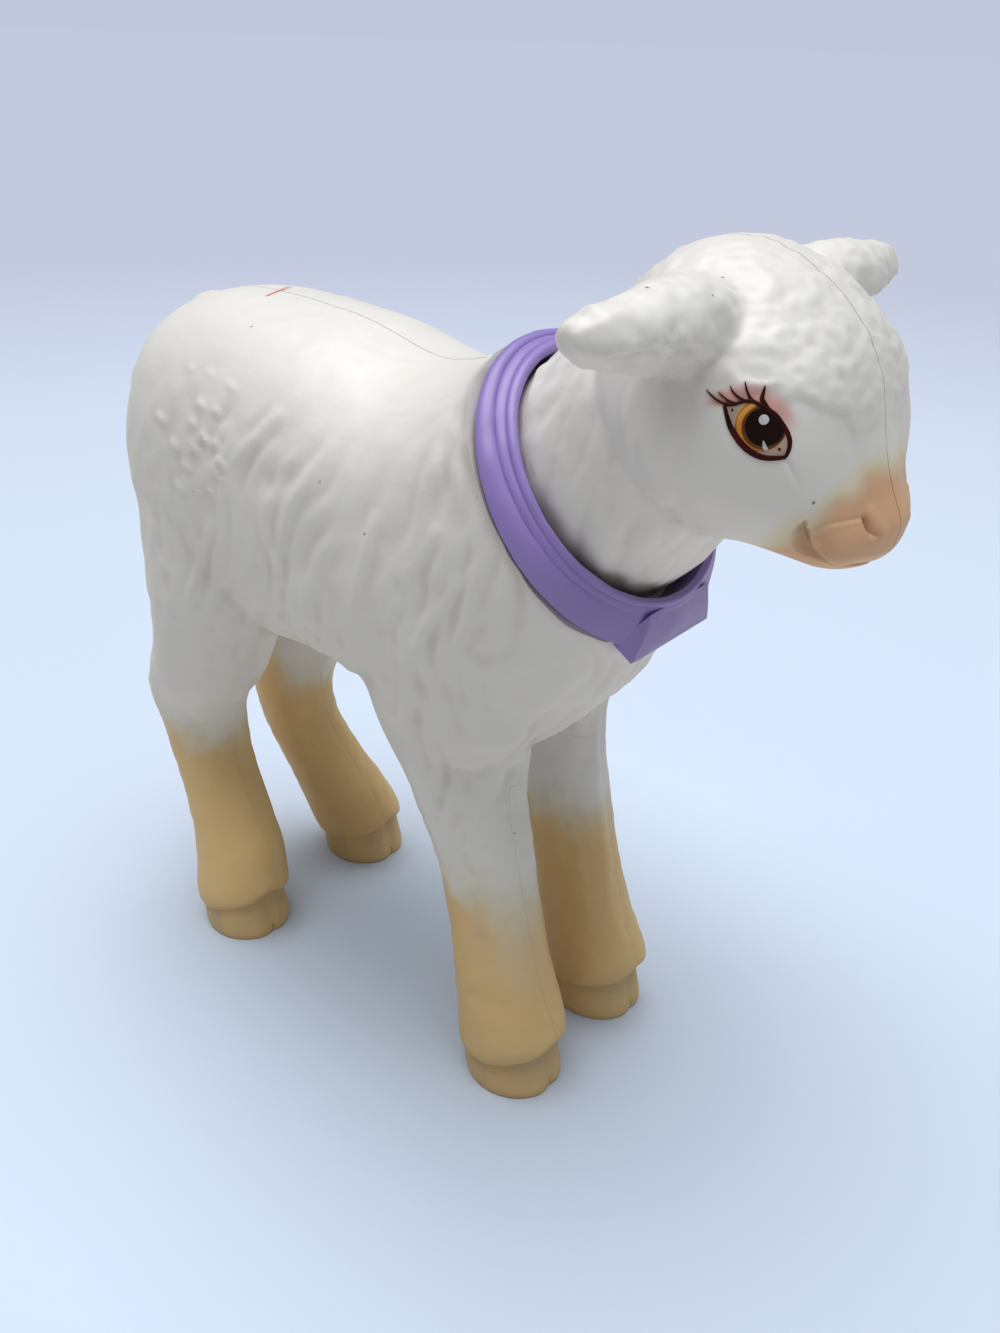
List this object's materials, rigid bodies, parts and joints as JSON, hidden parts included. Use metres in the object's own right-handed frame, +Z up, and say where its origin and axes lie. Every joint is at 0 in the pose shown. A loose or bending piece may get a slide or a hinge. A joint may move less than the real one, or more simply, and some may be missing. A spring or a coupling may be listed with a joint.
{
  "type": "toy farm animal figure",
  "caption": "Standing toy lamb of hollow moulded plastic halves, with cloven hooves, a ribbed ring collar and a head that turns in the neck hole.",
  "frame": {"origin": "on the ground under the middle of the figure's bounding box, in its plane of symmetry", "axes": "+X towards the nose, +Y to the animal's left, +Z up"},
  "size_m": [0.146, 0.0766, 0.1478],
  "materials": {
    "shell": "warm white moulded plastic with airbrushed tan lower legs, hooves and muzzle and printed eyes",
    "collar": "lilac moulded plastic, satin"
  },
  "bodies": {
    "trunk": {"body_right_shell": "shell", "body_left_shell": "shell", "front_right_leg_inner_shell": "shell", "front_left_leg_inner_shell": "shell", "hind_right_leg_inner_shell": "shell", "hind_left_leg_inner_shell": "shell", "collar": "collar"},
    "head": {"head_right_shell": "shell", "head_left_shell": "shell"}
  },
  "joints": [
    {"name": "head_turn", "type": "hinge", "parent": "trunk", "child": "head", "pos_m": [0.03089, 0, 0.11321], "axis": [0.8007, 0, 0.599], "continuous": true}
  ]
}
